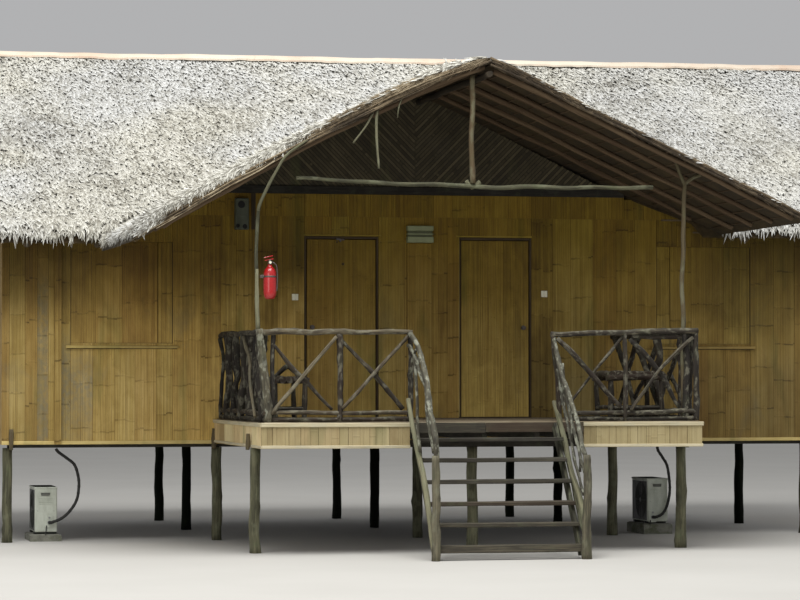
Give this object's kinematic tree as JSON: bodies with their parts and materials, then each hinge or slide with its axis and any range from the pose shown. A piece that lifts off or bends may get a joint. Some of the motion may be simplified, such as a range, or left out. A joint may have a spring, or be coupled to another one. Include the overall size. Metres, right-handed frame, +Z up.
{
  "type": "stilt house",
  "caption": "Bamboo-walled stilt house with two hinged doors, a railed porch, a central stair and thatched gable roofs.",
  "frame": {"origin": "on the ground at the centre of the whole house's footprint box, stair included", "axes": "+Z up, +X along the front to the viewer's right, +Y from the stair into the house"},
  "size_m": [10.78, 9.7499, 5.56],
  "materials": {
    "weathered_pole": "rough weathered timber pole",
    "rustic_log": "dark rough branches with bark",
    "sawn_timber": "rough sawn dark timber",
    "floor_boards": "worn boards",
    "split_bamboo": "flattened split bamboo, dull gloss",
    "pale_bamboo": "pale split bamboo",
    "woven_bamboo": "dark woven bamboo lattice",
    "roof_pole": "brown round roof poles",
    "thatch": "weathered palm leaf thatch",
    "ridge_cap": "faded ridge sheet",
    "hinge_steel": "dull dark steel",
    "lamp_shell": "dusty greenish grey plastic",
    "grey_box": "dusty grey plastic",
    "white_switch": "white plastic",
    "red_paint": "gloss red paint",
    "white_paint": "dusty white paint",
    "concrete": "rough cement with moss",
    "black_foam": "black pipe insulation"
  },
  "bodies": {
    "house": {"ac_pipes": "black_foam", "ac_stands": "concrete", "ac_units": "white_paint", "back_wall": "split_bamboo", "cover_strips": "split_bamboo", "door_frames": "sawn_timber", "emergency_lamp": "lamp_shell", "fire_extinguisher": "red_paint", "floor_bearers": "sawn_timber", "floor_joists": "sawn_timber", "front_wall_left": "split_bamboo", "front_wall_middle": "split_bamboo", "front_wall_panels": "split_bamboo", "front_wall_right": "split_bamboo", "gable_lattice": "woven_bamboo", "house_floor": "floor_boards", "house_posts": "weathered_pole", "left_end_wall": "split_bamboo", "main_roof_back": "thatch", "main_roof_front": "thatch", "main_roof_poles": "roof_pole", "porch_floor": "floor_boards", "porch_posts": "weathered_pole", "porch_roof_frame": "weathered_pole", "porch_roof_poles": "roof_pole", "porch_roof_thatch": "thatch", "porch_seats": "rustic_log", "porch_skirts": "pale_bamboo", "railing_front_left": "rustic_log", "railing_front_right": "rustic_log", "railing_side_left": "rustic_log", "railing_side_right": "rustic_log", "ridge_cap": "ridge_cap", "right_end_wall": "split_bamboo", "stair_handrails": "weathered_pole", "stair_stringers": "weathered_pole", "stair_treads": "sawn_timber", "wall_box": "grey_box", "wall_switches": "white_switch", "window_shutters": "split_bamboo", "window_sills": "sawn_timber"},
    "left_door": {"left_door": "split_bamboo", "left_door_fittings": "hinge_steel"},
    "right_door": {"right_door": "split_bamboo", "right_door_fittings": "hinge_steel"}
  },
  "joints": [
    {"name": "left_door_hinge", "type": "hinge", "parent": "house", "child": "left_door", "pos_m": [-0.482, -0.563, 2.3], "axis": [0, 0, -1], "range_deg": [0, 90]},
    {"name": "right_door_hinge", "type": "hinge", "parent": "house", "child": "right_door", "pos_m": [0.482, -0.563, 2.3], "axis": [0, 0, 1], "range_deg": [0, 90]}
  ]
}
